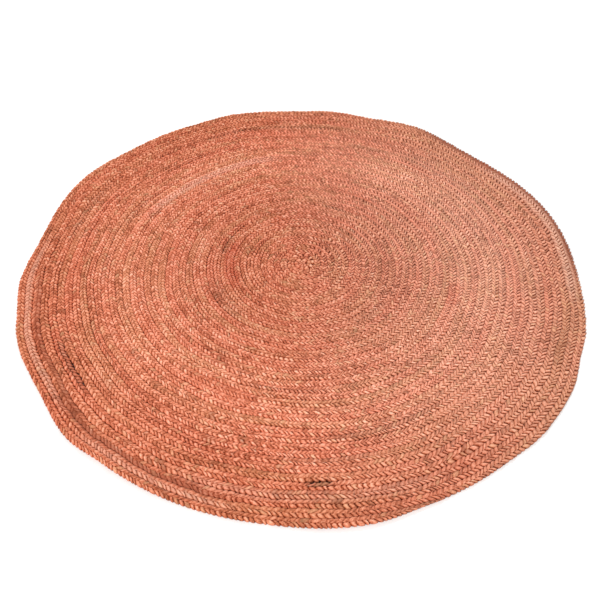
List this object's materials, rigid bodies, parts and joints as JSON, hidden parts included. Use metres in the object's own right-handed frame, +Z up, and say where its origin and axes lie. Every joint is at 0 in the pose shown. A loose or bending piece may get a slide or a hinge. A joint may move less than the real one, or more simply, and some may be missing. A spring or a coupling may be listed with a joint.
{
  "type": "round braided jute rug",
  "caption": "Round floor rug of one flat jute plait coiled from the centre outwards, with an uneven hand-sewn rim and low waves.",
  "frame": {"origin": "middle of the bounding box at the height of the floor, within 5 mm of the centre of the coil", "axes": "+Z up out of the rug's face, +Y away from the viewer of the picture, +X to the viewer's right"},
  "size_m": [1.7905, 1.8019, 0.0187],
  "materials": {
    "dyed_jute": "matt dyed jute plait"
  },
  "bodies": {
    "root": {"braided_rug": "dyed_jute"}
  },
  "joints": []
}
